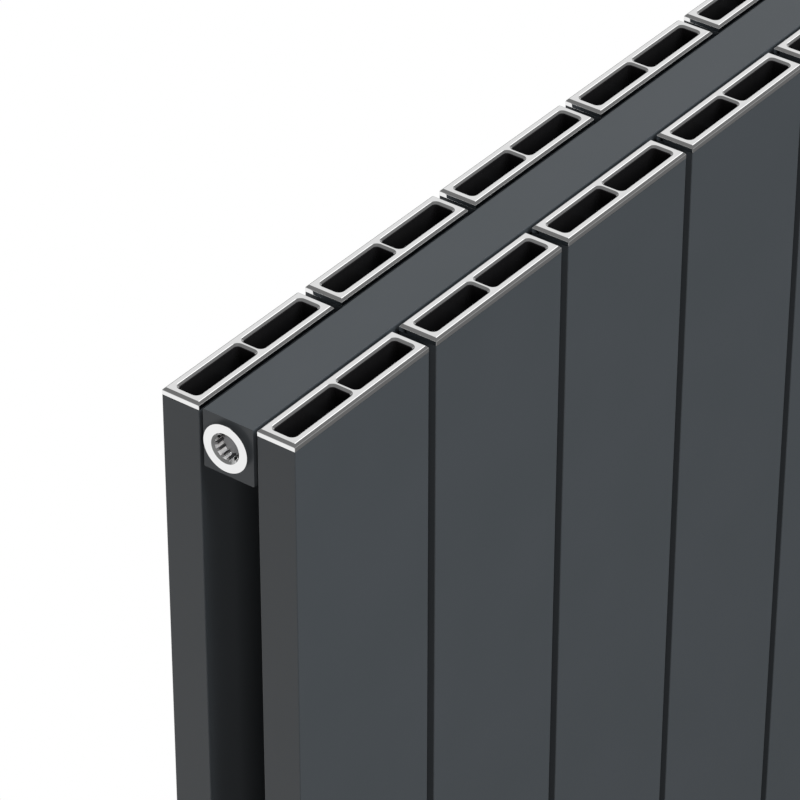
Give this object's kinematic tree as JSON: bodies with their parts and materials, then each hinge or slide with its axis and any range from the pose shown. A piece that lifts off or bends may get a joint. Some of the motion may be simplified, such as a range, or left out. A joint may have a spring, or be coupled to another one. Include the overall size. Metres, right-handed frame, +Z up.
{
  "type": "radiator",
  "caption": "Double-row flat-panel radiator: hollow vertical columns with bevelled chrome slotted end caps, joined by square headers and hung on wall hooks.",
  "frame": {"origin": "middle of the rectangle of the four wall fixing slots, on the wall plane", "axes": "+Z up, +Y into the wall, +X to the right as seen from the room"},
  "size_m": [0.5789, 0.1038, 0.6],
  "materials": {
    "powder_coat": "anthracite powder coat, fine satin, on extruded aluminium",
    "cap_chrome": "bright chrome plate on moulded black ABS; the slot walls and collars stay black",
    "plug_chrome": "bright chrome plate on turned brass",
    "bracket_coat": "dark powder coat on folded steel",
    "liner_plastic": "black moulded nylon",
    "nipple_steel": "turned steel",
    "seal_rubber": "black rubber",
    "nozzle_plastic": "pale grey moulded acetal",
    "screw_brass": "turned brass"
  },
  "bodies": {
    "radiator": {"blanking_plug": "plug_chrome", "bottom_header": "powder_coat", "bottom_header_nipples": "nipple_steel", "bottom_left_bracket": "bracket_coat", "bottom_left_end_block": "powder_coat", "bottom_right_bracket": "bracket_coat", "bottom_right_end_block": "powder_coat", "bracket_liners": "liner_plastic", "front_bottom_cap_1": "cap_chrome", "front_bottom_cap_2": "cap_chrome", "front_bottom_cap_3": "cap_chrome", "front_bottom_cap_4": "cap_chrome", "front_bottom_cap_5": "cap_chrome", "front_bottom_cap_6": "cap_chrome", "front_column_1": "powder_coat", "front_column_2": "powder_coat", "front_column_3": "powder_coat", "front_column_4": "powder_coat", "front_column_5": "powder_coat", "front_column_6": "powder_coat", "front_top_cap_1": "cap_chrome", "front_top_cap_2": "cap_chrome", "front_top_cap_3": "cap_chrome", "front_top_cap_4": "cap_chrome", "front_top_cap_5": "cap_chrome", "front_top_cap_6": "cap_chrome", "plug_seal": "seal_rubber", "rear_bottom_cap_1": "cap_chrome", "rear_bottom_cap_2": "cap_chrome", "rear_bottom_cap_3": "cap_chrome", "rear_bottom_cap_4": "cap_chrome", "rear_bottom_cap_5": "cap_chrome", "rear_bottom_cap_6": "cap_chrome", "rear_column_1": "powder_coat", "rear_column_2": "powder_coat", "rear_column_3": "powder_coat", "rear_column_4": "powder_coat", "rear_column_5": "powder_coat", "rear_column_6": "powder_coat", "rear_top_cap_1": "cap_chrome", "rear_top_cap_2": "cap_chrome", "rear_top_cap_3": "cap_chrome", "rear_top_cap_4": "cap_chrome", "rear_top_cap_5": "cap_chrome", "rear_top_cap_6": "cap_chrome", "top_header": "powder_coat", "top_header_nipples": "nipple_steel", "top_left_bracket": "bracket_coat", "top_left_end_block": "powder_coat", "top_right_bracket": "bracket_coat", "top_right_end_block": "powder_coat", "vent_plug": "plug_chrome", "vent_seal": "seal_rubber"},
    "nozzle": {"nozzle_ring": "nozzle_plastic"},
    "vent_screw": {"bleed_screw": "screw_brass"}
  },
  "joints": [
    {"name": "nozzle_swivel", "type": "hinge", "parent": "radiator", "child": "nozzle", "pos_m": [0.2882, -0.0694, 0.2852], "axis": [1, 0, 0], "continuous": true},
    {"name": "bleed_screw_turn", "type": "hinge", "parent": "radiator", "child": "vent_screw", "pos_m": [0.2825, -0.0694, 0.2852], "axis": [1, 0, 0], "range_deg": [0, 180]}
  ]
}
